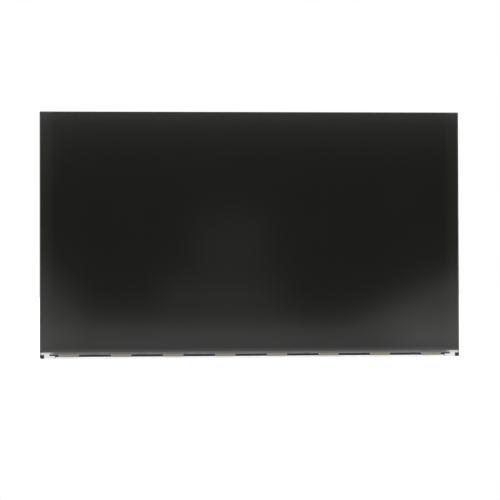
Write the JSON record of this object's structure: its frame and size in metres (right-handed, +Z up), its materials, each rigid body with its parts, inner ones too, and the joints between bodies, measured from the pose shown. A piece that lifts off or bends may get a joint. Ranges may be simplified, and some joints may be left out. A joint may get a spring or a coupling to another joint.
{
  "type": "lcd screen panel",
  "caption": "Bare edge-lit LCD screen panel with narrow black borders, driver films wrapped round its bottom edge, a pressed steel back and a circuit board along the foot.",
  "frame": {"origin": "centre of the four rear fixing holes, on the plane of their raised pads, behind the middle of the screen", "axes": "+X to the right as the viewer sees the screen, +Y from the screen to the back, +Z up the screen"},
  "size_m": [0.5336, 0.0115, 0.3125],
  "materials": {
    "screen_film": "matte anti-glare film, near black",
    "panel_glass": "thin display glass, dark behind the polarizer",
    "frame_black": "moulded black plastic with a fine grain",
    "clip_white": "moulded white plastic",
    "sheet_white": "milky optical sheet",
    "guide_clear": "clear acrylic plate",
    "lamp_board_white": "white solder resist",
    "thermal_tape_grey": "soft heat-conducting tape",
    "lamp_yellow": "white lamp package with a yellow window",
    "tail_amber": "amber flexible circuit",
    "chassis_steel": "galvanised pressed steel",
    "board_green": "green solder resist over copper",
    "insulator_black": "thin black insulating film",
    "screw_steel": "plated steel screw",
    "film_beige": "beige polyimide film over fine copper tracks",
    "chip_black": "black moulded chip",
    "resistor_black": "black chip resistor with tinned ends",
    "coil_grey": "pressed ferrite coil",
    "capacitor_tan": "ceramic capacitor with tinned ends",
    "tape_black": "black foam tape",
    "socket_cream": "cream moulded plastic",
    "contact_gold": "gold-plated contact",
    "shell_steel": "tinned steel shell"
  },
  "bodies": {
    "root": {"front_polarizer": "screen_film", "rear_polarizer": "screen_film", "colour_filter_glass": "panel_glass", "array_glass": "panel_glass", "mould_frame": "frame_black", "corner_clip_left": "clip_white", "corner_clip_right": "clip_white", "upper_diffuser": "sheet_white", "prism_sheet": "sheet_white", "lower_diffuser": "sheet_white", "reflector": "sheet_white", "light_guide": "guide_clear", "led_board": "lamp_board_white", "led_thermal_tape": "thermal_tape_grey", "led_chips": "lamp_yellow", "led_flex_tail": "tail_amber", "rear_chassis": "chassis_steel", "source_board": "board_green", "board_insulator": "insulator_black", "board_screws": "screw_steel", "driver_film_1": "film_beige", "driver_film_2": "film_beige", "driver_film_3": "film_beige", "driver_film_4": "film_beige", "driver_film_5": "film_beige", "driver_film_6": "film_beige", "driver_film_7": "film_beige", "driver_film_8": "film_beige", "driver_chip_1": "chip_black", "driver_chip_2": "chip_black", "driver_chip_3": "chip_black", "driver_chip_4": "chip_black", "driver_chip_5": "chip_black", "driver_chip_6": "chip_black", "driver_chip_7": "chip_black", "driver_chip_8": "chip_black", "timing_controller": "chip_black", "power_chip": "chip_black", "gamma_chip": "chip_black", "memory_chip": "chip_black", "level_chip": "chip_black", "board_resistors": "resistor_black", "power_inductor": "coil_grey", "board_capacitors": "capacitor_tan", "panel_tape_top": "tape_black", "panel_tape_bottom": "tape_black", "panel_tape_left": "tape_black", "panel_tape_right": "tape_black", "signal_socket_body": "socket_cream", "led_socket_body": "socket_cream", "signal_socket_pins": "contact_gold", "led_socket_pins": "contact_gold", "signal_socket_shell": "shell_steel"}
  },
  "joints": []
}
